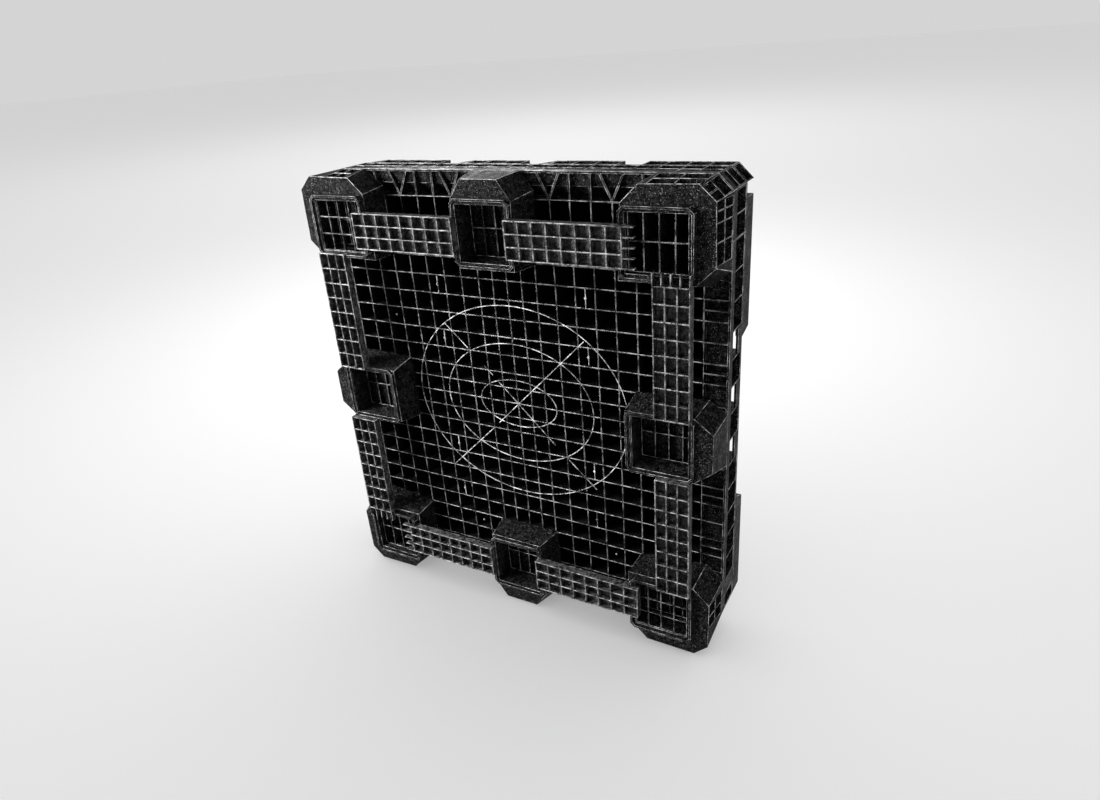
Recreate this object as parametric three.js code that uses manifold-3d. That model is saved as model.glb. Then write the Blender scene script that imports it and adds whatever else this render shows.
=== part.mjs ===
// Plastic stacking pallet: a ribbed deck on eight hollow legs, with ribbed runner boards along the floor.
// Millimetres, +Z up. The origin is on the floor under the middle of the deck, X along the longer side.
// The pallet looks the same after half a turn about Z, so one half is built and then placed twice.

import * as THREE from 'three';
import { mergeVertices } from 'three/addons/utils/BufferGeometryUtils.js';
import Module from 'manifold-3d';

const wasm = await Module();
wasm.setup();

// Overall size
const HALF_X = 609.6;
const HALF_Y = 571.5;
const FIT_GAP = 0.3;

// Heights above the floor
const RUNNER_TOP = 22;
const LEG_BOTTOM = 25;
const CORNER_FOOT_BOTTOM = 8;
const MID_FOOT_BOTTOM = 16;
const DECK_BOTTOM = 105.5;
const FLANGE_TOP = 124;
const DECK_TOP = 200;
const LIP_TOP = 250;

// Wall and rib thicknesses
const RIB = 2.6;
const WALL = 5;
const SKIN = 8;
const LIP_THICKNESS = 16;

// Rib lines of the deck: two narrower steps on either side of the centre line, then an even pitch
const X_FIRST_STEP = 43.2;
const X_PITCH = 50.75;
const X_LINES = 11;
const Y_FIRST_STEP = 42.6;
const Y_PITCH = 53.17;
const Y_LINES = 10;

// Chamfered corners of the deck
const SMALL_CHAMFER = 34;
const LARGE_CHAMFER = 94;

// Runner boards
const RUNNER_ROWS = 3;
const RUNNER_COLUMNS = 8;
const COMB_LENGTH = 27;
const COMB_HEIGHT = 14;
const COMB_RIBS = 5;

function lineAt(index, firstStep, pitch) {
  const count = Math.abs(index);
  const distance = count <= 2 ? count * firstStep : 2 * firstStep + (count - 2) * pitch;
  return Math.sign(index) * distance;
}

function ribLines(lastLine, firstStep, pitch) {
  return Array.from({ length: 2 * lastLine + 1 }, (_, i) => lineAt(i - lastLine, firstStep, pitch));
}

const LATTICE_X = lineAt(X_LINES, X_FIRST_STEP, X_PITCH) + RIB / 2;
const LATTICE_Y = lineAt(Y_LINES, Y_FIRST_STEP, Y_PITCH) + RIB / 2;

// Solids

function toSolid(geometry) {
  geometry.deleteAttribute('normal');
  geometry.deleteAttribute('uv');
  const merged = mergeVertices(geometry, 1e-4);
  const vertProperties = new Float32Array(merged.attributes.position.array);
  const triVerts = new Uint32Array(merged.index.array);
  return new wasm.Manifold(new wasm.Mesh({ numProp: 3, vertProperties, triVerts }));
}

function block(x0, x1, y0, y1, z0, z1) {
  const geometry = new THREE.BoxGeometry(Math.abs(x1 - x0), Math.abs(y1 - y0), z1 - z0);
  geometry.translate((x0 + x1) / 2, (y0 + y1) / 2, (z0 + z1) / 2);
  return toSolid(geometry);
}

// A block that tapers from one outline at z0 to another with as many corners at z1
function taperedBlock(lowerPoints, upperPoints, z0, z1) {
  const shape = new THREE.Shape(lowerPoints.map(([x, y]) => new THREE.Vector2(x, y)));
  const geometry = new THREE.ExtrudeGeometry(shape, { depth: z1 - z0, bevelEnabled: false });
  const position = geometry.attributes.position;
  for (let i = 0; i < position.count; i += 1) {
    if (position.getZ(i) > (z1 - z0) / 2) {
      const corner = lowerPoints.findIndex(
        ([x, y]) => Math.hypot(x - position.getX(i), y - position.getY(i)) < 1e-3,
      );
      position.setXY(i, ...upperPoints[corner]);
    }
  }
  geometry.translate(0, 0, z0);
  return toSolid(geometry);
}

function prism(points, z0, z1) {
  return taperedBlock(points, points, z0, z1);
}

function subtractAll(solid, cutters) {
  return cutters.reduce((rest, cutter) => rest.subtract(cutter), solid);
}

// Evenly spaced cells that leave ribs between them and at both ends
function cells(from, to, count, rib) {
  const size = (to - from - (count + 1) * rib) / count;
  return Array.from({ length: count }, (_, i) => {
    const start = from + rib + i * (size + rib);
    return [start, start + size];
  });
}

// Pockets of a rectangular grid, open downwards when z0 is below the solid
function gridPockets(x0, x1, y0, y1, columns, rows, z0, z1) {
  return cells(x0, x1, columns, RIB).flatMap(([xa, xb]) =>
    cells(y0, y1, rows, RIB).map(([ya, yb]) => block(xa, xb, ya, yb, z0, z1)),
  );
}

// Rectangle with four equal chamfers
function chamferedRectangle(x0, x1, y0, y1, chamfer) {
  return [
    [x0 + chamfer, y0],
    [x1 - chamfer, y0],
    [x1, y0 + chamfer],
    [x1, y1 - chamfer],
    [x1 - chamfer, y1],
    [x0 + chamfer, y1],
    [x0, y1 - chamfer],
    [x0, y0 + chamfer],
  ];
}

// Deck outline: small chamfers north-east and south-west, large ones at the other two corners
const DECK_OUTLINE = [
  [HALF_X, -HALF_Y + LARGE_CHAMFER],
  [HALF_X, HALF_Y - SMALL_CHAMFER],
  [HALF_X - SMALL_CHAMFER, HALF_Y],
  [-HALF_X + LARGE_CHAMFER, HALF_Y],
  [-HALF_X, HALF_Y - LARGE_CHAMFER],
  [-HALF_X, -HALF_Y + SMALL_CHAMFER],
  [-HALF_X + SMALL_CHAMFER, -HALF_Y],
  [HALF_X - LARGE_CHAMFER, -HALF_Y],
];

// The middle of the deck: a skin with a lattice of ribs under it
function deckLattice() {
  const xs = ribLines(X_LINES, X_FIRST_STEP, X_PITCH);
  const ys = ribLines(Y_LINES, Y_FIRST_STEP, Y_PITCH);
  const pockets = [];
  for (let i = 0; i < xs.length - 1; i += 1) {
    for (let j = 0; j < ys.length - 1; j += 1) {
      pockets.push(
        block(
          xs[i] + RIB / 2,
          xs[i + 1] - RIB / 2,
          ys[j] + RIB / 2,
          ys[j + 1] - RIB / 2,
          DECK_BOTTOM - 1,
          DECK_TOP - SKIN,
        ),
      );
    }
  }
  const slab = block(-LATTICE_X, LATTICE_X, -LATTICE_Y, LATTICE_Y, DECK_BOTTOM, DECK_TOP);
  return slab.subtract(wasm.Manifold.union(pockets));
}

// A pocket in a chamfered corner face; from and to run from 0 to 1 along the chamfer, east end first
function chamferPocket(chamfer, from, to, depth, z0, z1) {
  const along = (t, inward) => [
    HALF_X - chamfer * t - inward * Math.SQRT1_2,
    HALF_Y - chamfer * (1 - t) - inward * Math.SQRT1_2,
  ];
  return prism([along(from, -2), along(to, -2), along(to, depth), along(from, depth)], z0, z1);
}

// One wide pocket for each of the given rows, between ribs that run down the ends of the small chamfer
const CHAMFER_RIB = 0.07;
const CHAMFER_POCKET_DEPTH = 10;

function chamferPockets(depth, rows) {
  return rows.map(([z0, z1]) =>
    chamferPocket(SMALL_CHAMFER, CHAMFER_RIB, 1 - CHAMFER_RIB, depth, z0, z1),
  );
}

// Deck edges: beams with pockets below the flange line and open pockets in the outer face
const EAST_END = 440;
const NORTH_END = 470;
const OUTER_RIB = 150;
const UPPER_ROW = [OUTER_RIB + RIB, DECK_TOP - SKIN];
const OUTER_ROWS = [[FLANGE_TOP + WALL, OUTER_RIB], UPPER_ROW];
const FULL_ROW = [FLANGE_TOP + WALL, DECK_TOP - SKIN];

// Lower pockets of the east wall are wedges: shallow at the edge of the pallet, deep beside the lattice
const WEDGE_SHALLOW = 113;
const WEDGE_BEND = 118;
const WEDGE_DEEP = 150;

// Outer pockets of the east wall, in two rows above a deeper flange than on the other walls
const EAST_POCKETS = 16;
const EAST_POCKET_DEPTH = 17;
const EAST_ROWS = [[FLANGE_TOP + 2 * WALL, OUTER_RIB], UPPER_ROW];

function wedge(inner, outer, y0, y1) {
  const shape = new THREE.Shape([
    new THREE.Vector2(inner, DECK_BOTTOM - 1),
    new THREE.Vector2(outer, DECK_BOTTOM - 1),
    new THREE.Vector2(outer, WEDGE_SHALLOW),
    new THREE.Vector2((inner + outer) / 2, WEDGE_BEND),
    new THREE.Vector2(inner, WEDGE_DEEP),
  ]);
  const geometry = new THREE.ExtrudeGeometry(shape, { depth: y1 - y0, bevelEnabled: false });
  geometry.rotateX(Math.PI / 2);
  geometry.translate(0, y1, 0);
  return toSolid(geometry);
}

// Plan of a V-shaped gusset: its point on the lattice and its two arms ending at the flange
const GUSSET_LINES = [3, 6];
const STRAIGHT_LINES = [0.6, 4, 5, 7.4];
const GUSSET_SPREAD = 30;
const GUSSET_RIB = 5;

function gussetArm(apex, tip) {
  const inner = LATTICE_X + FIT_GAP;
  const outer = HALF_X - 1;
  const half = GUSSET_RIB / 2;
  return prism(
    [
      [inner, apex - half],
      [outer, tip - half],
      [outer, tip + half],
      [inner, apex + half],
    ],
    DECK_BOTTOM,
    DECK_TOP - SKIN,
  );
}

function eastWall() {
  const inner = LATTICE_X + FIT_GAP;
  const beam = block(inner, HALF_X, -EAST_END, EAST_END, DECK_BOTTOM, DECK_TOP);
  const outerPockets = EAST_ROWS.flatMap(([z0, z1]) =>
    cells(-EAST_END, EAST_END, EAST_POCKETS, RIB).map(([y0, y1]) =>
      block(HALF_X - EAST_POCKET_DEPTH, HALF_X + 1, y0, y1, z0, z1),
    ),
  );
  const trough = wedge(inner - 1, HALF_X - WALL, -EAST_END + RIB, EAST_END - RIB);
  const ribs = [];
  for (const side of [-1, 1]) {
    for (const line of GUSSET_LINES) {
      const apex = side * lineAt(line, Y_FIRST_STEP, Y_PITCH);
      ribs.push(gussetArm(apex, apex - GUSSET_SPREAD), gussetArm(apex, apex + GUSSET_SPREAD));
    }
    for (const line of STRAIGHT_LINES) {
      const y = side * lineAt(line, Y_FIRST_STEP, Y_PITCH);
      ribs.push(gussetArm(y, y));
    }
  }
  const cut = ribs.reduce((space, rib) => space.subtract(rib), trough);
  return subtractAll(beam, [cut, ...outerPockets]);
}

// The north wall has closed panels and narrow open cells below, and long pockets outside;
// between the lips these pockets are also open at the top, behind a rail
const PANEL_DEPTH = 12;
const NORTH_POCKET_DEPTH = 40;
const RAIL = 6;
const NORTH_POCKET_PITCH = 68.6;
const NORTH_POCKET_START = -12.7;
const NORTH_POCKET_LAST = 6;
const WINDOW_CELLS = [-1, 1, 3];
const WINDOW_RIB = 30;
const NORTH_RIB_LINES = [-7.9, -7, -6.5, -6, -5, -4, -3.5, -3, -1.9, 1.9, 3, 3.5, 4, 5, 6, 6.5, 7, 7.9];

function northWall() {
  const inner = LATTICE_Y + FIT_GAP;
  const beam = block(-NORTH_END, NORTH_END, inner, HALF_Y, DECK_BOTTOM, DECK_TOP);
  const cutters = [];
  for (let k = -NORTH_POCKET_LAST; k <= NORTH_POCKET_LAST; k += 1) {
    const line = NORTH_POCKET_START + k * NORTH_POCKET_PITCH;
    const x0 = line + RIB / 2;
    const x1 = Math.min(line + NORTH_POCKET_PITCH, NORTH_END) - RIB / 2;
    const back = HALF_Y - NORTH_POCKET_DEPTH;
    if (WINDOW_CELLS.includes(k)) {
      cutters.push(block(x0, x1, back, HALF_Y + 1, FLANGE_TOP + WALL, DECK_TOP - WINDOW_RIB));
      cutters.push(block(x0, x1, back, HALF_Y - RAIL, DECK_TOP - WINDOW_RIB - 1, DECK_TOP + 1));
    } else {
      cutters.push(block(x0, x1, back, HALF_Y + 1, ...FULL_ROW));
    }
  }
  const lines = NORTH_RIB_LINES.map((index) => lineAt(index, X_FIRST_STEP, X_PITCH));
  for (let i = 0; i < lines.length - 1; i += 1) {
    const narrow = lines[i + 1] - lines[i] < X_PITCH * 0.75;
    const top = DECK_BOTTOM + (narrow ? FLANGE_TOP - DECK_BOTTOM : PANEL_DEPTH);
    const x0 = lines[i] + RIB / 2;
    const x1 = lines[i + 1] - RIB / 2;
    cutters.push(block(x0, x1, inner - 1, HALF_Y - WALL, DECK_BOTTOM - 1, top));
  }
  return subtractAll(beam, cutters);
}

// Corner posts wrap the corners of the lattice; side is +1 at the north corner and -1 at the south corner
const POST_POCKET_DEPTH = 20;

function cornerPost(side) {
  const eastArm = block(
    LATTICE_X + FIT_GAP,
    HALF_X,
    side * (EAST_END + FIT_GAP),
    side * HALF_Y,
    DECK_BOTTOM,
    DECK_TOP,
  );
  const northArm = block(
    NORTH_END + FIT_GAP,
    HALF_X,
    side * (LATTICE_Y + FIT_GAP),
    side * HALF_Y,
    DECK_BOTTOM,
    DECK_TOP,
  );
  const chamfer = side > 0 ? SMALL_CHAMFER : LARGE_CHAMFER;
  const columns = side > 0 ? 2 : 1;
  const cutters = side > 0 ? chamferPockets(CHAMFER_POCKET_DEPTH, OUTER_ROWS) : [];
  for (const [z0, z1] of OUTER_ROWS) {
    for (const [y0, y1] of cells(EAST_END, HALF_Y - chamfer - RIB, columns, RIB)) {
      cutters.push(block(HALF_X - EAST_POCKET_DEPTH, HALF_X + 1, side * y0, side * y1, z0, z1));
    }
  }
  for (const [x0, x1] of cells(NORTH_END, HALF_X - chamfer - RIB, columns, RIB)) {
    const back = side * (HALF_Y - POST_POCKET_DEPTH);
    cutters.push(block(x0, x1, back, side * (HALF_Y + 1), ...FULL_ROW));
  }
  const outline = prism(DECK_OUTLINE, DECK_BOTTOM, DECK_TOP);
  return subtractAll(eastArm.add(northArm).intersect(outline), cutters);
}

// Lips stand on the deck edge and keep the load from sliding off: start, end and the slopes at both ends
const LIP_BOTTOM = DECK_TOP + FIT_GAP;
const EAST_LIPS = { a: [-468, -232, 30, 0], b: [-183, 10, 30, 0], c: [62, 269, 30, 0] };
const NORTH_LIPS = { e: [225, 543, 12, 0], w: [-515, -210, 0, 22] };

function lipPrism(points, depth) {
  const shape = new THREE.Shape(points.map(([along, z]) => new THREE.Vector2(along, z)));
  const geometry = new THREE.ExtrudeGeometry(shape, { depth, bevelEnabled: false });
  geometry.rotateX(Math.PI / 2);
  return geometry;
}

// Side view of a lip: one end square, the other sloping by the given length
function lipProfile(start, end, startSlope, endSlope) {
  return [
    [start, LIP_BOTTOM],
    [end, LIP_BOTTOM],
    [end - endSlope, LIP_TOP],
    [start + startSlope, LIP_TOP],
  ];
}

// Cells in the outer face of a lip, between its sloping ends
const LIP_CELL = 52;
const LIP_CELL_DEPTH = 10;
const LIP_CELL_BOTTOM = LIP_BOTTOM + RIB;
const LIP_CELL_TOP = LIP_TOP - WALL;

function lipCells(start, end, startSlope, endSlope) {
  const from = start + startSlope;
  const to = end - endSlope;
  return cells(from, to, Math.round((to - from) / LIP_CELL), RIB);
}

function eastLip(start, end, startSlope, endSlope) {
  const geometry = lipPrism(lipProfile(start, end, startSlope, endSlope), LIP_THICKNESS);
  geometry.rotateZ(Math.PI / 2);
  geometry.translate(HALF_X - LIP_THICKNESS, 0, 0);
  return subtractAll(
    toSolid(geometry),
    lipCells(start, end, startSlope, endSlope).map(([y0, y1]) =>
      block(HALF_X - LIP_CELL_DEPTH, HALF_X + 1, y0, y1, LIP_CELL_BOTTOM, LIP_CELL_TOP),
    ),
  );
}

function northLip(start, end, startSlope, endSlope) {
  const geometry = lipPrism(lipProfile(start, end, startSlope, endSlope), LIP_THICKNESS);
  geometry.translate(0, HALF_Y, 0);
  return toSolid(geometry);
}

// The lip at the north-east corner follows the chamfer
const CORNER_LIP_START = 330;
const CORNER_LIP_CELLS = 4;

function cornerLip() {
  const inset = LIP_THICKNESS * (Math.SQRT2 - 1);
  const start = CORNER_LIP_START;
  const cutters = chamferPockets(LIP_CELL_DEPTH, [[LIP_CELL_BOTTOM, LIP_CELL_TOP]]);
  for (const [y0, y1] of cells(start, HALF_Y - SMALL_CHAMFER, CORNER_LIP_CELLS, RIB)) {
    cutters.push(block(HALF_X - LIP_CELL_DEPTH, HALF_X + 1, y0, y1, LIP_CELL_BOTTOM, LIP_CELL_TOP));
  }
  const body = prism(
    [
      [HALF_X - LIP_THICKNESS, start],
      [HALF_X, start],
      [HALF_X, HALF_Y - SMALL_CHAMFER],
      [HALF_X - SMALL_CHAMFER, HALF_Y],
      [HALF_X - SMALL_CHAMFER - inset, HALF_Y - LIP_THICKNESS],
      [HALF_X - LIP_THICKNESS, HALF_Y - SMALL_CHAMFER - inset],
    ],
    LIP_BOTTOM,
    LIP_TOP,
  );
  return subtractAll(body, cutters);
}

// Legs: tapered hollow boxes, wider under the deck, with a grid of ribs inside
const LEG_TOP = DECK_BOTTOM - FIT_GAP;
const CORNER_INNER_X = 392;
const CORNER_INNER_Y = 343;
const MID_EAST_INNER = 390;
const MID_NORTH_INNER = 348;

const CORNER_CORE = { x0: 411, x1: 547, y0: 363, y1: 509 };
const MID_EAST_CORE = { x0: 406, x1: 548, y0: -70, y1: 70 };
const MID_NORTH_CORE = { x0: -70, x1: 70, y0: 364, y1: 508 };
const CORE_TOP = LEG_TOP - SKIN;
const LOW_GRID_BOTTOM = 34;
const DEEP_GRID_BOTTOM = 82;

// A leg is hollow up to the grid of ribs that stiffens it
const GRID_COLUMNS = 2;
const GRID_ROWS = 4;

function corePockets(x0, x1, y0, y1, gridBottom) {
  const mouth = block(x0, x1, y0, y1, LEG_BOTTOM - 1, gridBottom);
  const grid = gridPockets(x0, x1, y0, y1, GRID_COLUMNS, GRID_ROWS, gridBottom - 1, CORE_TOP);
  return [mouth, ...grid];
}

// The small chamfer of a leg has two narrow pockets at the bottom and a wide one above them
const LEG_CHAMFER_DEPTH = 17;

function legChamferPockets() {
  const [lowRow, highRow] = cells(LEG_BOTTOM, LEG_TOP, 2, WALL);
  const narrow = [[CHAMFER_RIB, 0.5 - CHAMFER_RIB / 2], [0.5 + CHAMFER_RIB / 2, 1 - CHAMFER_RIB]];
  return [
    ...narrow.map(([from, to]) => chamferPocket(SMALL_CHAMFER, from, to, LEG_CHAMFER_DEPTH, ...lowRow)),
    ...chamferPockets(LEG_CHAMFER_DEPTH, [highRow]),
  ];
}

// Corners of a corner leg: where they are on the floor side and under the deck
const CORNER_LEG_LOWER = [
  [CORNER_INNER_X, CORNER_INNER_Y],
  [560, CORNER_INNER_Y + 8],
  [600, 393],
  [602, 524],
  [568, 560],
  [434, 562],
  [393, 519],
];

function cornerLegUpper(chamfer) {
  return [
    [CORNER_INNER_X - 4, CORNER_INNER_Y + 4],
    [568, CORNER_INNER_Y + 8],
    [HALF_X, 404],
    [HALF_X, HALF_Y - chamfer],
    [HALF_X - chamfer, HALF_Y],
    [407, HALF_Y],
    [369, 528],
  ];
}

// Rib lines in the outer faces of the corner legs, beside the small chamfer and beside the large one
const LEG_FACE_DEPTH = 43;
const SMALL_SIDE = { x: [436, 484, 524, 548, 568], y: [410, 470, 530] };
const LARGE_SIDE = { x: [436, 472, 508], y: [410, 440, 470] };

function between(lines) {
  return lines.slice(1).map((line, i) => [lines[i] + RIB / 2, line - RIB / 2]);
}

function cornerLeg(side) {
  const chamfer = side > 0 ? SMALL_CHAMFER : LARGE_CHAMFER;
  const mirror = ([x, y]) => [x, side * y];
  const shell = taperedBlock(
    CORNER_LEG_LOWER.map(mirror),
    cornerLegUpper(chamfer).map(mirror),
    LEG_BOTTOM,
    LEG_TOP,
  );
  const { x0: coreX0, x1: coreX1, y0: coreY0, y1: coreY1 } = CORNER_CORE;
  const [y0, y1] = side > 0 ? [coreY0, coreY1] : [-coreY1, -coreY0];
  const gridBottom = side > 0 ? LOW_GRID_BOTTOM : DEEP_GRID_BOTTOM;
  const cutters = corePockets(coreX0, coreX1, y0, y1, gridBottom);
  if (side > 0) {
    cutters.push(...legChamferPockets());
  }
  const lines = side > 0 ? SMALL_SIDE : LARGE_SIDE;
  const back = side * (HALF_Y - LEG_FACE_DEPTH);
  for (const [z0, z1] of cells(LEG_BOTTOM, LEG_TOP, 2, WALL)) {
    for (const [x0, x1] of between(lines.x)) {
      cutters.push(block(x0, x1, back, side * (HALF_Y + 1), z0, z1));
    }
    for (const [from, to] of between(lines.y)) {
      cutters.push(block(HALF_X - LEG_FACE_DEPTH, HALF_X + 1, side * from, side * to, z0, z1));
    }
  }
  return subtractAll(shell, cutters);
}

function midEastLeg() {
  const half = [
    [[MID_EAST_INNER, 78], [MID_EAST_INNER - 3, 92]],
    [[555, 84], [566, 100]],
    [[603, 50], [HALF_X, 66]],
  ];
  return midLeg(half, ([x, y]) => [x, -y], MID_EAST_CORE);
}

function midNorthLeg() {
  const half = [
    [[78, MID_NORTH_INNER], [92, MID_NORTH_INNER - 3]],
    [[84, 519], [98, 528]],
    [[49, 564], [68, HALF_Y]],
  ];
  return midLeg(half, ([x, y]) => [-x, y], MID_NORTH_CORE);
}

// A leg that is its own mirror image: half its corners, at the bottom and the top, then their reflections
function midLeg(half, reflect, core) {
  const outline = (level) => [
    ...half.map((corner) => corner[level]),
    ...half.map((corner) => reflect(corner[level])).reverse(),
  ];
  const shell = taperedBlock(outline(0), outline(1), LEG_BOTTOM, LEG_TOP);
  return subtractAll(shell, corePockets(core.x0, core.x1, core.y0, core.y1, DEEP_GRID_BOTTOM));
}

// Feet: stepped frames under the legs, notched where the runners pass through them
const FOOT_TOP = LEG_BOTTOM - FIT_GAP;
const FOOT_CHAMFER = 12;
const RIM = 5;
const LEDGE = 13;

const LEDGE_RISE = 0.35;
const GRID_RISE = 0.55;
const CORNER_FOOT = { x0: 400, x1: 558, y0: 352, y1: 520 };
const MID_EAST_FOOT = { x0: 395, x1: 559, y0: -82, y1: 82 };
const MID_NORTH_FOOT = { x0: -82, x1: 82, y0: 350, y1: 520 };

function foot({ x0, x1, y0, y1 }, bottom, runners) {
  const depth = FOOT_TOP - bottom;
  const ledgeHeight = bottom + depth * LEDGE_RISE;
  const gridHeight = bottom + depth * GRID_RISE;
  const outline = (inset) =>
    chamferedRectangle(x0 + inset, x1 - inset, y0 + inset, y1 - inset, FOOT_CHAMFER - inset * 0.5);
  return subtractAll(prism(outline(0), bottom, FOOT_TOP), [
    prism(outline(RIM), bottom - 1, ledgeHeight),
    prism(outline(LEDGE), bottom - 1, gridHeight),
    block(x0 + LEDGE, x1 - LEDGE, y0 + LEDGE, y1 - LEDGE, bottom - 1, FOOT_TOP + 1),
    ...runners,
  ]);
}

// Runner boards: start and end run along the side of the pallet, near and far across it
const EAST_RUNNER = { near: 425.2, far: 517.6, start: 73, end: 365 };
const NORTH_RUNNER = { near: 430, far: 516.3, start: 80, end: 395 };
const SOUTH_RUNNER = {
  near: -NORTH_RUNNER.far,
  far: -NORTH_RUNNER.near,
  start: NORTH_RUNNER.start,
  end: NORTH_RUNNER.end,
};

// Bounds with the long way along Y for an east runner and along X for a north runner
function runnerBox(along, side, start, end, near, far, z0, z1) {
  const s0 = Math.min(side * start, side * end);
  const s1 = Math.max(side * start, side * end);
  return along === 'y' ? block(near, far, s0, s1, z0, z1) : block(s0, s1, near, far, z0, z1);
}

// A runner ends in a comb where combed is true, and otherwise runs on to the ledge of the foot
function runnerEnd(runner, combed) {
  return combed ? runner.end : runner.end + LEDGE;
}

function combRibs(runner) {
  const step = (runner.far - runner.near - RIB) / (COMB_RIBS - 1);
  return Array.from({ length: COMB_RIBS }, (_, i) => runner.near + i * step);
}

function runnerBoard(runner, along, side, combed) {
  const end = runnerEnd(runner, combed);
  const pockets = cells(runner.start, end, RUNNER_COLUMNS, RIB).flatMap(([s0, s1]) =>
    cells(runner.near, runner.far, RUNNER_ROWS, RIB).map(([c0, c1]) =>
      runnerBox(along, side, s0, s1, c0, c1, -1, RUNNER_TOP - RIB),
    ),
  );
  const board = subtractAll(
    runnerBox(along, side, runner.start, end, runner.near, runner.far, 0, RUNNER_TOP),
    pockets,
  );
  if (!combed) {
    return board;
  }
  return combRibs(runner).reduce(
    (solid, near) =>
      solid.add(runnerBox(along, side, end - 1, end + COMB_LENGTH, near, near + RIB, 0, COMB_HEIGHT)),
    board,
  );
}

// Space that a runner and its comb take up inside a foot, with clearance
function runnerNotch(runner, along, side, combed) {
  const near = runner.near - FIT_GAP;
  const far = runner.far + FIT_GAP;
  const start = runner.start - FIT_GAP;
  const end = runnerEnd(runner, combed) + FIT_GAP;
  const notch = runnerBox(along, side, start, end, near, far, -1, RUNNER_TOP + FIT_GAP);
  if (!combed) {
    return [notch];
  }
  return [
    notch,
    runnerBox(along, side, end - 1, end + COMB_LENGTH, near, far, -1, COMB_HEIGHT + FIT_GAP),
  ];
}

// Corner feet without combs carry a grid of their own, level with their ledge
const FOOT_GRID_BOTTOM = 17;
const FOOT_GRID_COLUMNS = 3;
const FOOT_GRID_ROWS = 4;

function footGrid({ x0, x1, y0, y1 }) {
  const [gx0, gx1, gy0, gy1] = [x0 + LEDGE - 1, x1 - LEDGE + 1, y0 + LEDGE - 1, y1 - LEDGE + 1];
  const plate = block(gx0, gx1, gy0, gy1, FOOT_GRID_BOTTOM, FOOT_TOP);
  const openings = gridPockets(
    gx0, gx1, gy0, gy1, FOOT_GRID_COLUMNS, FOOT_GRID_ROWS, FOOT_GRID_BOTTOM - 1, FOOT_TOP + 1,
  );
  return subtractAll(plate, openings);
}

function cornerFoot(side) {
  const { x0, x1, y0, y1 } = CORNER_FOOT;
  const bounds = side > 0 ? CORNER_FOOT : { x0, x1, y0: -y1, y1: -y0 };
  const crossRunner = side > 0 ? NORTH_RUNNER : SOUTH_RUNNER;
  const notches = [
    ...runnerNotch(EAST_RUNNER, 'y', side, side > 0),
    ...runnerNotch(crossRunner, 'x', 1, side > 0),
  ];
  const frame = foot(bounds, CORNER_FOOT_BOTTOM, notches);
  return side > 0 ? frame : frame.add(subtractAll(footGrid(bounds), notches));
}

function midEastFoot() {
  return foot(MID_EAST_FOOT, MID_FOOT_BOTTOM, [
    ...runnerNotch(EAST_RUNNER, 'y', 1, false),
    ...runnerNotch(EAST_RUNNER, 'y', -1, false),
  ]);
}

function midNorthFoot() {
  return foot(MID_NORTH_FOOT, MID_FOOT_BOTTOM, [
    ...runnerNotch(NORTH_RUNNER, 'x', 1, false),
    ...runnerNotch(NORTH_RUNNER, 'x', -1, false),
  ]);
}

// Materials: black recycled plastic, a little shinier on the thin ribbed pieces

function blackPlastic(colour, roughness) {
  return new THREE.MeshStandardMaterial({ color: colour, roughness, metalness: 0 });
}

function deckPlastic() {
  return blackPlastic(0x17171a, 0.5);
}

function runnerPlastic() {
  return blackPlastic(0x1d1d20, 0.42);
}

// Every piece of one half: its solid, its material, its name, and the name of its twin half a turn away

const HALF_PIECES = [
  [eastWall(), deckPlastic, 'wall_east', 'wall_west'],
  [northWall(), deckPlastic, 'wall_north', 'wall_south'],
  [cornerPost(1), deckPlastic, 'post_northeast', 'post_southwest'],
  [cornerPost(-1), deckPlastic, 'post_southeast', 'post_northwest'],
  [eastLip(...EAST_LIPS.a), deckPlastic, 'lip_east_a', 'lip_west_a'],
  [eastLip(...EAST_LIPS.b), deckPlastic, 'lip_east_b', 'lip_west_b'],
  [eastLip(...EAST_LIPS.c), deckPlastic, 'lip_east_c', 'lip_west_c'],
  [cornerLip(), deckPlastic, 'lip_corner_northeast', 'lip_corner_southwest'],
  [northLip(...NORTH_LIPS.e), deckPlastic, 'lip_north_e', 'lip_south_w'],
  [northLip(...NORTH_LIPS.w), deckPlastic, 'lip_north_w', 'lip_south_e'],
  [cornerLeg(1), deckPlastic, 'leg_northeast', 'leg_southwest'],
  [cornerLeg(-1), deckPlastic, 'leg_southeast', 'leg_northwest'],
  [midEastLeg(), deckPlastic, 'leg_east', 'leg_west'],
  [midNorthLeg(), deckPlastic, 'leg_north', 'leg_south'],
  [cornerFoot(1), runnerPlastic, 'foot_northeast', 'foot_southwest'],
  [cornerFoot(-1), runnerPlastic, 'foot_southeast', 'foot_northwest'],
  [midEastFoot(), runnerPlastic, 'foot_east', 'foot_west'],
  [midNorthFoot(), runnerPlastic, 'foot_north', 'foot_south'],
  [runnerBoard(EAST_RUNNER, 'y', 1, true), runnerPlastic, 'runner_east_n', 'runner_west_s'],
  [runnerBoard(EAST_RUNNER, 'y', -1, false), runnerPlastic, 'runner_east_s', 'runner_west_n'],
  [runnerBoard(NORTH_RUNNER, 'x', 1, true), runnerPlastic, 'runner_north_e', 'runner_south_w'],
  [runnerBoard(NORTH_RUNNER, 'x', -1, false), runnerPlastic, 'runner_north_w', 'runner_south_e'],
];

function toMesh(solid, material, name) {
  const { numProp, vertProperties, triVerts } = solid.getMesh();
  const geometry = new THREE.BufferGeometry();
  geometry.setAttribute('position', new THREE.BufferAttribute(new Float32Array(vertProperties), numProp));
  geometry.setIndex(new THREE.BufferAttribute(new Uint32Array(triVerts), 1));
  geometry.computeVertexNormals();
  const mesh = new THREE.Mesh(geometry, material);
  mesh.name = name;
  return mesh;
}

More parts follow.
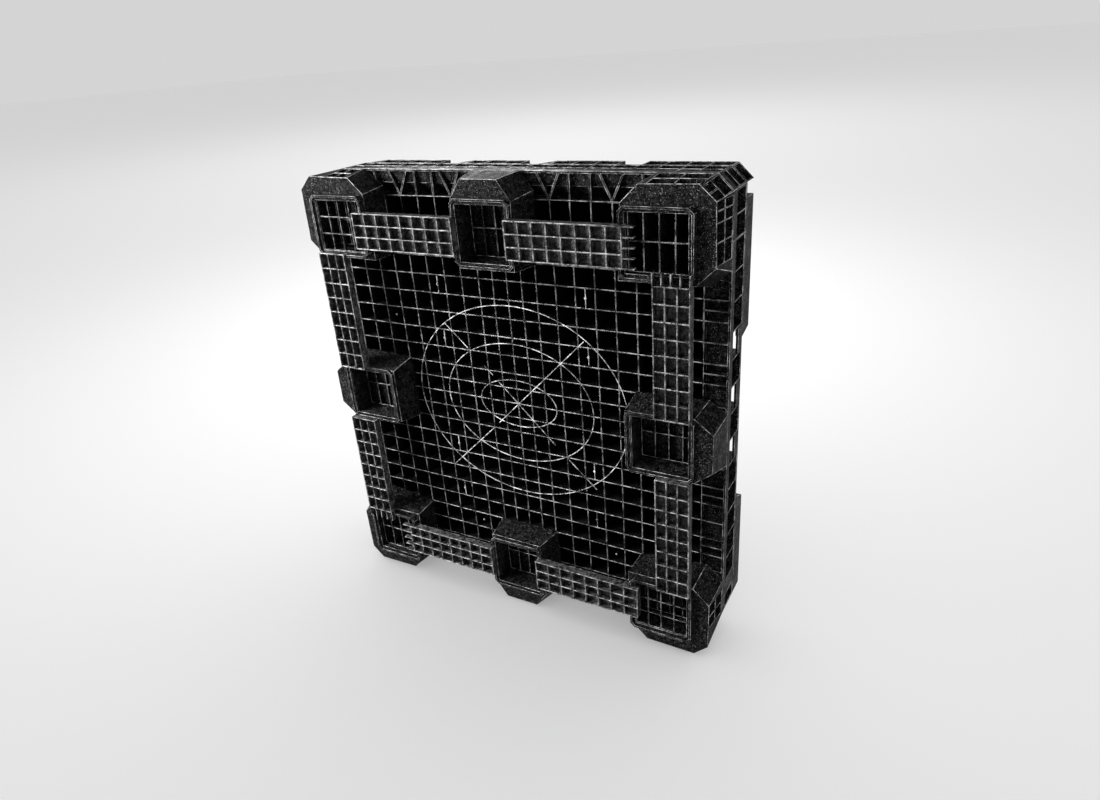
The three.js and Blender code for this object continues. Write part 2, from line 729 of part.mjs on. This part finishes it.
const pallet = new THREE.Group();
const firstHalf = new THREE.Group();
const secondHalf = new THREE.Group();
secondHalf.rotation.z = Math.PI;
for (const [solid, plastic, name, twinName] of HALF_PIECES) {
  firstHalf.add(toMesh(solid, plastic(), name));
  secondHalf.add(toMesh(solid, plastic(), twinName));
}
pallet.add(toMesh(deckLattice(), deckPlastic(), 'deck_lattice'), firstHalf, secondHalf);

export default pallet;
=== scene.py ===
"""Studio view of the plastic pallet, standing on its west edge with its underside towards the camera.

Everything is in the pallet's own frame, in metres: X along its longer side, Y along its shorter side, Z up
when it is in use. The floor of the studio is therefore a plane of constant X under the west edge.
"""
from math import cos, hypot, radians, sin, tau

import bmesh
import bpy
from mathutils import Matrix, Vector
from mathutils.noise import noise_vector


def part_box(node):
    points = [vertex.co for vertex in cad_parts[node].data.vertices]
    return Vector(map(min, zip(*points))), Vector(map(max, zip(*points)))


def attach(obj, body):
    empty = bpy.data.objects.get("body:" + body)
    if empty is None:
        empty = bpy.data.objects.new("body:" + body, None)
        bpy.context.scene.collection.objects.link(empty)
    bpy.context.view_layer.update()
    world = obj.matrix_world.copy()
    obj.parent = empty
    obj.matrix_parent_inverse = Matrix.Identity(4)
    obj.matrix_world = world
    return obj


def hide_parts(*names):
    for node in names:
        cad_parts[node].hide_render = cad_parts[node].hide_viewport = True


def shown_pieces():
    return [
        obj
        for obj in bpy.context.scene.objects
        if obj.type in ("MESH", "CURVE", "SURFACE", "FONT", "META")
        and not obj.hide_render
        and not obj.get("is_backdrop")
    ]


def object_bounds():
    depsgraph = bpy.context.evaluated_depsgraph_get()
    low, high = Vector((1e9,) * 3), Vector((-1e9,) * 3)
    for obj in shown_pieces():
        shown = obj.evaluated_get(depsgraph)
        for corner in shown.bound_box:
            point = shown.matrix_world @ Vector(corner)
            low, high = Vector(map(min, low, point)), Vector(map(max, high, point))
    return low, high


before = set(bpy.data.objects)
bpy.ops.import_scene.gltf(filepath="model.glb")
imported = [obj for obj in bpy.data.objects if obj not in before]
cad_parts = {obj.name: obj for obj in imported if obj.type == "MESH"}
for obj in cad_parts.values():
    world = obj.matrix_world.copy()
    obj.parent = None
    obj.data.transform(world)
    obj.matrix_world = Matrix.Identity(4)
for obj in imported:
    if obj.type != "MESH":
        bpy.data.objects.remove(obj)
CAD_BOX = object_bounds()
MM = 0.001

# The deck, from its CAD nodes
LATTICE_LOW, LATTICE_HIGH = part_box("deck_lattice")
DECK_BOTTOM = LATTICE_LOW[2]
DECK_TOP = LATTICE_HIGH[2]
RIB = 2.6 * MM
SKIN = 8 * MM

# Rib lines: two narrower steps on either side of the centre line, then an even pitch
X_FIRST_STEP, X_PITCH = 43.2 * MM, 50.75 * MM
Y_FIRST_STEP, Y_PITCH = 42.6 * MM, 53.17 * MM


def line_at(index, first_step, pitch):
    """Distance of a rib line from the centre; halves lie midway between two lines."""
    count = abs(index)
    distance = count * first_step if count <= 2 else 2 * first_step + (count - 2) * pitch
    return distance if index >= 0 else -distance


def row(index):
    """X of a rib line that runs along Y."""
    return line_at(index, X_FIRST_STEP, X_PITCH)


def column(index):
    """Y of a rib line that runs along X."""
    return line_at(index, Y_FIRST_STEP, Y_PITCH)


# Materials


def new_material(name):
    material = bpy.data.materials.new(name)
    material.use_nodes = True
    nodes = material.node_tree.nodes
    return material, nodes, material.node_tree.links, nodes["Principled BSDF"]


def noise(nodes, links, vector, scale, detail, roughness=0.55):
    node = nodes.new("ShaderNodeTexNoise")
    node.inputs["Scale"].default_value = scale
    node.inputs["Detail"].default_value = detail
    node.inputs["Roughness"].default_value = roughness
    links.new(vector, node.inputs["Vector"])
    return node.outputs["Fac"]


def ramp(nodes, links, factor, stops):
    node = nodes.new("ShaderNodeValToRGB")
    elements = node.color_ramp.elements
    while len(elements) < len(stops):
        elements.new(0.5)
    for element, (position, value) in zip(elements, stops):
        element.position = position
        element.color = (*value, 1) if isinstance(value, tuple) else (value, value, value, 1)
    links.new(factor, node.inputs["Fac"])
    return node.outputs["Color"]


def mix(nodes, links, kind, factor, a, b):
    node = nodes.new("ShaderNodeMix")
    node.data_type = "RGBA"
    node.blend_type = kind
    if isinstance(factor, float):
        node.inputs["Factor"].default_value = factor
    else:
        links.new(factor, node.inputs["Factor"])
    links.new(a, node.inputs["A"])
    links.new(b, node.inputs["B"])
    return node.outputs["Result"]


def recycled_plastic(name, dark, light, glint_speck, roughness, bump, specular, cloud_scale=9):
    """Black recycled plastic: cloudy colour, pale specks painted in as glints, pale scuffs that are partly
    painted sheen, uneven gloss and orange peel.
    """
    material, nodes, links, shader = new_material(name)
    coordinates = nodes.new("ShaderNodeTexCoord").outputs["Object"]
    cloud = noise(nodes, links, coordinates, cloud_scale, 5, 0.7)
    grain = noise(nodes, links, coordinates, 230, 3, 0.7)
    glint_specks = noise(nodes, links, coordinates, 420, 2, 0.6)
    scuffs_and_sheen = noise(nodes, links, coordinates, 38, 6, 0.75)
    base = ramp(nodes, links, cloud, [(0.45, dark), (0.62, light)])
    # Pale specks painted into the colour as glints of light
    glint_speck_mask = ramp(nodes, links, glint_specks, [(0.62, 0.0), (0.7, 1.0)])
    glint_speck_colour = ramp(nodes, links, cloud, [(0.0, glint_speck), (1.0, glint_speck)])
    # Pale scuff patches in the glint colour: partly real scuffs, partly painted sheen
    scuff_and_sheen_mask = ramp(nodes, links, scuffs_and_sheen, [(0.62, 0.0), (0.78, 0.6)])
    spotted = mix(nodes, links, "MIX", glint_speck_mask, base, glint_speck_colour)
    links.new(mix(nodes, links, "MIX", scuff_and_sheen_mask, spotted, glint_speck_colour), shader.inputs["Base Color"])
    low, high = roughness
    links.new(ramp(nodes, links, scuffs_and_sheen, [(0.3, low), (0.7, high)]), shader.inputs["Roughness"])
    coarse = nodes.new("ShaderNodeBump")
    coarse.inputs["Strength"].default_value = bump
    coarse.inputs["Distance"].default_value = 6 * MM
    links.new(noise(nodes, links, coordinates, 85, 5, 0.7), coarse.inputs["Height"])
    relief = nodes.new("ShaderNodeBump")
    relief.inputs["Strength"].default_value = bump
    relief.inputs["Distance"].default_value = 1.2 * MM
    links.new(grain, relief.inputs["Height"])
    links.new(coarse.outputs["Normal"], relief.inputs["Normal"])
    links.new(relief.outputs["Normal"], shader.inputs["Normal"])
    shader.inputs["Specular IOR Level"].default_value = specular
    return material


DECK = recycled_plastic("deck_plastic", 0.0006, 0.003, 0.04, (0.36, 0.6), 0.8, 0.1)
SHELL = recycled_plastic("shell_plastic", 0.0002, 0.013, 0.18, (0.22, 0.6), 1.0, 0.03, 80)
# The runners' black plastic is painted lighter, with brighter specks, to stand in for the light on their
# roofs
LIT_RUNNER_PLASTIC = recycled_plastic("runner_plastic", 0.0006, 0.07, 0.32, (0.22, 0.5), 0.8, 0.3, 90)
# A pale colour painted on rounded edges, rib edges and pin ends as a highlight
PAINTED_EDGE_HIGHLIGHT = recycled_plastic("painted_highlight_rib_edge", 0.02, 0.62, 0.8, (0.2, 0.4), 0.4, 0.6, 45)


# Mesh helpers


def new_piece(name, mesh_builder, materials):
    """Makes a piece from a bmesh that mesh_builder fills; it rides on the pallet's one body."""
    mesh = bpy.data.meshes.new(name)
    work = bmesh.new()
    mesh_builder(work)
    bmesh.ops.recalc_face_normals(work, faces=work.faces)
    work.to_mesh(mesh)
    work.free()
    for material in materials:
        mesh.materials.append(material)
    piece = bpy.data.objects.new(name, mesh)
    bpy.context.scene.collection.objects.link(piece)
    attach(piece, "root")
    return piece


def add_rib(work, points, z_edge, z_root, thickness=RIB, closed=False):
    """A thin wall along a path in the plane of the deck, with a rounded free edge at z_edge."""
    half = thickness / 2
    rise = half * (1 if z_root > z_edge else -1)
    profile = [
        (-half, z_root),
        (-half, z_edge + rise),
        (-half * 0.6, z_edge + rise * 0.25),
        (0, z_edge),
        (half * 0.6, z_edge + rise * 0.25),
        (half, z_edge + rise),
        (half, z_root),
    ]
    count = len(points)
    sections = []
    for i, (x, y) in enumerate(points):
        before = points[i - 1] if closed or i > 0 else points[i]
        after = points[(i + 1) % count] if closed or i < count - 1 else points[i]
        dx, dy = after[0] - before[0], after[1] - before[1]
        length = hypot(dx, dy)
        across = (-dy / length, dx / length)
        sections.append([work.verts.new((x + across[0] * o, y + across[1] * o, z)) for o, z in profile])
    steps = count if closed else count - 1
    for i in range(steps):
        a, b = sections[i], sections[(i + 1) % count]
        for j in range(len(profile) - 1):
            face = work.faces.new((a[j], a[j + 1], b[j + 1], b[j]))
            # The rounded free edge takes slot 1, the painted edge highlight
            face.material_index = 1 if 0 < j < len(profile) - 2 else 0
        work.faces.new((a[-1], a[0], b[0], b[-1]))
    if not closed:
        work.faces.new(sections[0])
        work.faces.new(sections[-1])


def add_pin(work, x, y, z_edge, z_root, radius):
    """A short round boss with a domed end."""
    sides = 10
    rings = []
    rise = 1 if z_root > z_edge else -1
    turns = [tau * k / sides for k in range(sides)]
    for r, z in [(radius, z_root), (radius, z_edge + rise * radius * 0.5), (radius * 0.55, z_edge)]:
        rings.append([work.verts.new((x + r * cos(turn), y + r * sin(turn), z)) for turn in turns])
    for lower, upper in zip(rings, rings[1:]):
        for k in range(sides):
            face = work.faces.new((lower[k], lower[(k + 1) % sides], upper[(k + 1) % sides], upper[k]))
            # The domed shoulder and the end cap take slot 1, the painted edge highlight
            face.material_index = 1 if lower is rings[1] else 0
    work.faces.new(rings[0])
    work.faces.new(rings[-1]).material_index = 1


# Ribs that the lattice carries besides its square grid

RINGS = [(0.275, 0.322), (0.171, 0.225), (0.068, 0.118)]
LATTICE_ROOT = DECK_TOP - SKIN / 2


def ellipse(half_x, half_y, steps=96):
    return [(half_x * cos(tau * k / steps), half_y * sin(tau * k / steps)) for k in range(steps)]


def ring_ribs(work):
    for half_x, half_y in RINGS:
        add_rib(work, ellipse(half_x, half_y), DECK_BOTTOM - 0.6 * MM, LATTICE_ROOT, RIB * 0.9, closed=True)


def diagonal_ribs(work):
    """Two diagonals out to the outer ring: one nearly whole, the other broken between the rings."""
    spans = {1: [(-4.9, -2.0), (-1.6, 4.3)], -1: [(-4.6, -3.0), (-2.4, 1.3), (1.7, 2.2), (3.0, 4.4)]}
    for lean, pieces in spans.items():
        for start, end in pieces:
            points = [(row(start), column(lean * start)), (row(end), column(lean * end))]
            add_rib(work, points, DECK_BOTTOM - 0.4 * MM, LATTICE_ROOT)


def pin_ribs(work):
    """Half-length ribs between two columns, each with a small ejector pin in the middle."""
    for start in (-6.5, -3.5, 3.5, 6.5):
        for across in (-4.5, 4.5):
            y = column(across)
            path = [(row(start - 0.5), y), (row(start + 0.5), y)]
            add_rib(work, path, DECK_BOTTOM + 1 * MM, LATTICE_ROOT)
            add_pin(work, row(start), y, DECK_BOTTOM - 1 * MM, LATTICE_ROOT, 3.6 * MM)
    for x, y in [(7.5, 8.5), (-2.5, 7.5), (4.5, -7.5), (-8.5, -3.5), (1.5, -8.5), (-8.5, 5.5)]:
        add_pin(work, row(x), column(y), DECK_BOTTOM + 2 * MM, LATTICE_ROOT, 3.2 * MM)


def top_grip(work):
    """Low raised lines on the deck top, over every second rib, that keep a load from slipping."""
    proud = DECK_TOP + 1.2 * MM
    root = DECK_TOP - 1 * MM
    width = 3 * MM
    for index in range(-10, 11, 2):
        x, y = row(index), column(index)
        add_rib(work, [(x, LATTICE_LOW[1] + RIB), (x, LATTICE_HIGH[1] - RIB)], proud, root, width)
        add_rib(work, [(LATTICE_LOW[0] + RIB, y), (LATTICE_HIGH[0] - RIB, y)], proud, root, width)


new_piece("deck_top_grip", top_grip, [SHELL, PAINTED_EDGE_HIGHLIGHT])
new_piece("deck_ring_ribs", ring_ribs, [DECK, PAINTED_EDGE_HIGHLIGHT])
new_piece("deck_diagonal_ribs", diagonal_ribs, [DECK, PAINTED_EDGE_HIGHLIGHT])
new_piece("deck_pin_ribs", pin_ribs, [DECK, PAINTED_EDGE_HIGHLIGHT])


# Moulded pieces: each CAD solid with its outward edges rounded, with a painted highlight on the rounding;
# the lattice is also a little wavy

SHARP = radians(25)
EDGE_RADIUS = 0.65 * MM
FOOT_EDGE_RADIUS = 0.45 * MM
WAVE = 0.7 * MM
WAVE_LENGTH = 60 * MM


def wavy(point, amount):
    """A point moved slightly along X and Y, as ribs warp when they cool.

    Blender's noise starts from the clock and isn't seeded here, so the lattice differs a little each run.
    """
    shift = noise_vector(point / WAVE_LENGTH) * amount
    return Vector((point.x + shift.x, point.y + shift.y, point.z))


def moulded(node, plastic, radius=EDGE_RADIUS):
    """Replaces a CAD node by a copy with rounded outward edges, painted in a pale highlight colour."""
    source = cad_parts[node].data

    def build(work):
        work.from_mesh(source)
        bmesh.ops.remove_doubles(work, verts=work.verts, dist=0.01 * MM)
        weight = work.edges.layers.float.new("bevel_weight_edge")
        for edge in work.edges:
            if len(edge.link_faces) == 2 and edge.is_convex and edge.calc_face_angle(0) > SHARP:
                edge[weight] = 1
        for face in work.faces:
            face.material_index = 0
            face.smooth = False
        if node == "deck_lattice":
            for vertex in work.verts:
                vertex.co = wavy(vertex.co, WAVE)

    piece = new_piece(f"{node}_moulded", build, [plastic, PAINTED_EDGE_HIGHLIGHT])
    bevel = piece.modifiers.new("rounded_edges", "BEVEL")
    bevel.width = radius
    bevel.segments = 2
    bevel.limit_method = "WEIGHT"
    # The rounding takes slot 1, the painted edge highlight
    bevel.material = 1
    bevel.use_clamp_overlap = False
    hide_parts(node)


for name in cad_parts:
    if name.startswith("runner"):
        moulded(name, LIT_RUNNER_PLASTIC)
    elif name.startswith("foot"):
        moulded(name, SHELL, FOOT_EDGE_RADIUS)
    elif name == "deck_lattice":
        moulded(name, DECK)
    else:
        moulded(name, SHELL)


# Studio


def backdrop():
    """A wide pale floor under the west edge; it can't be seen from behind, so it never hides the pallet."""
    mesh = bpy.data.meshes.new("studio_floor")
    reach = 60
    x = CAD_BOX[0][0] - 1 * MM
    mesh.from_pydata(
        [(x, -reach, -reach), (x, reach, -reach), (x, reach, reach), (x, -reach, reach)], [], [(0, 1, 2, 3)]
    )
    floor = bpy.data.objects.new("studio_floor", mesh)
    bpy.context.scene.collection.objects.link(floor)
    material, nodes, links, shader = new_material("pale_floor")
    shader.inputs["Base Color"].default_value = (0.97, 0.97, 0.97, 1)
    shader.inputs["Roughness"].default_value = 0.8
    see_through = nodes.new("ShaderNodeBsdfTransparent")
    side = nodes.new("ShaderNodeNewGeometry")
    choice = nodes.new("ShaderNodeMixShader")
    links.new(side.outputs["Backfacing"], choice.inputs["Fac"])
    links.new(shader.outputs["BSDF"], choice.inputs[1])
    links.new(see_through.outputs["BSDF"], choice.inputs[2])
    links.new(choice.outputs["Shader"], nodes["Material Output"].inputs["Surface"])
    mesh.materials.append(material)
    floor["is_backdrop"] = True


def area_light(name, location, target, size, power, receivers, blockers=None):
    """A round soft light on one collection only; with blockers nothing else casts a shadow in it."""
    data = bpy.data.lights.new(name, "AREA")
    data.shape = "DISK"
    data.size = size
    data.energy = power
    light = bpy.data.objects.new(name, data)
    light.location = location
    direction = Vector(target) - Vector(location)
    light.rotation_euler = direction.to_track_quat("-Z", "Y").to_euler()
    bpy.context.scene.collection.objects.link(light)
    light.light_linking.receiver_collection = receivers
    if blockers:
        light.light_linking.blocker_collection = blockers


def studio_light():
    """An even grey surround, two shadowless lights on the floor and five soft ones on the pallet."""
    world = bpy.data.worlds.new("studio")
    world.use_nodes = True
    background = world.node_tree.nodes["Background"]
    background.inputs["Color"].default_value = (0.66, 0.66, 0.66, 1)
    background.inputs["Strength"].default_value = 1.0
    bpy.context.scene.world = world
    pallet = bpy.data.collections.new("pallet_pieces")
    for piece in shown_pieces():
        pallet.objects.link(piece)
    floor = bpy.data.collections.new("floor_only")
    floor.objects.link(bpy.data.objects["studio_floor"])
    area_light("floor_wash", (2.4, -1.2, 2.2), (-0.6, -1.2, 2.0), 2.6, 54, floor, floor)
    area_light("floor_far", (8, -5, 9), (-0.6, -6, 11), 6, 235, floor, floor)
    area_light("underside_key", (0.7, -1.5, -1.9), (0, 0, 0.1), 0.6, 85, pallet)
    area_light("top_edge", (1.3, -1.5, -0.8), (0.4, -0.3, 0.1), 0.5, 85, pallet)
    area_light("right_side", (0.7, 2.3, -0.5), (0, 0.4, 0.1), 0.8, 12, pallet)
    area_light("deck_side", (0.3, -1.6, 2.4), (0, 0, 0.2), 1.4, 60, pallet)
    area_light("back_side", (-1.6, -1.0, 1.6), (0, 0, 0.1), 1.2, 45, pallet)


def camera():
    """The view of the underside, from in front of the pallet, above it and to its right."""
    data = bpy.data.cameras.new("camera")
    data.sensor_width = 36
    data.lens = 25.2
    view = bpy.data.objects.new("camera", data)
    right = Vector((-0.07079, 0.87459, 0.47966))
    up = Vector((0.90285, -0.14827, 0.40359))
    forward = Vector((-0.42410, -0.46163, 0.77913))
    view.matrix_world = Matrix.Translation((0.880, 1.027, -1.460)) @ Matrix(
        (right, up, -forward)
    ).transposed().to_4x4()
    bpy.context.scene.collection.objects.link(view)
    bpy.context.scene.camera = view


backdrop()
studio_light()
camera()
bpy.context.scene.view_settings.view_transform = "Standard"
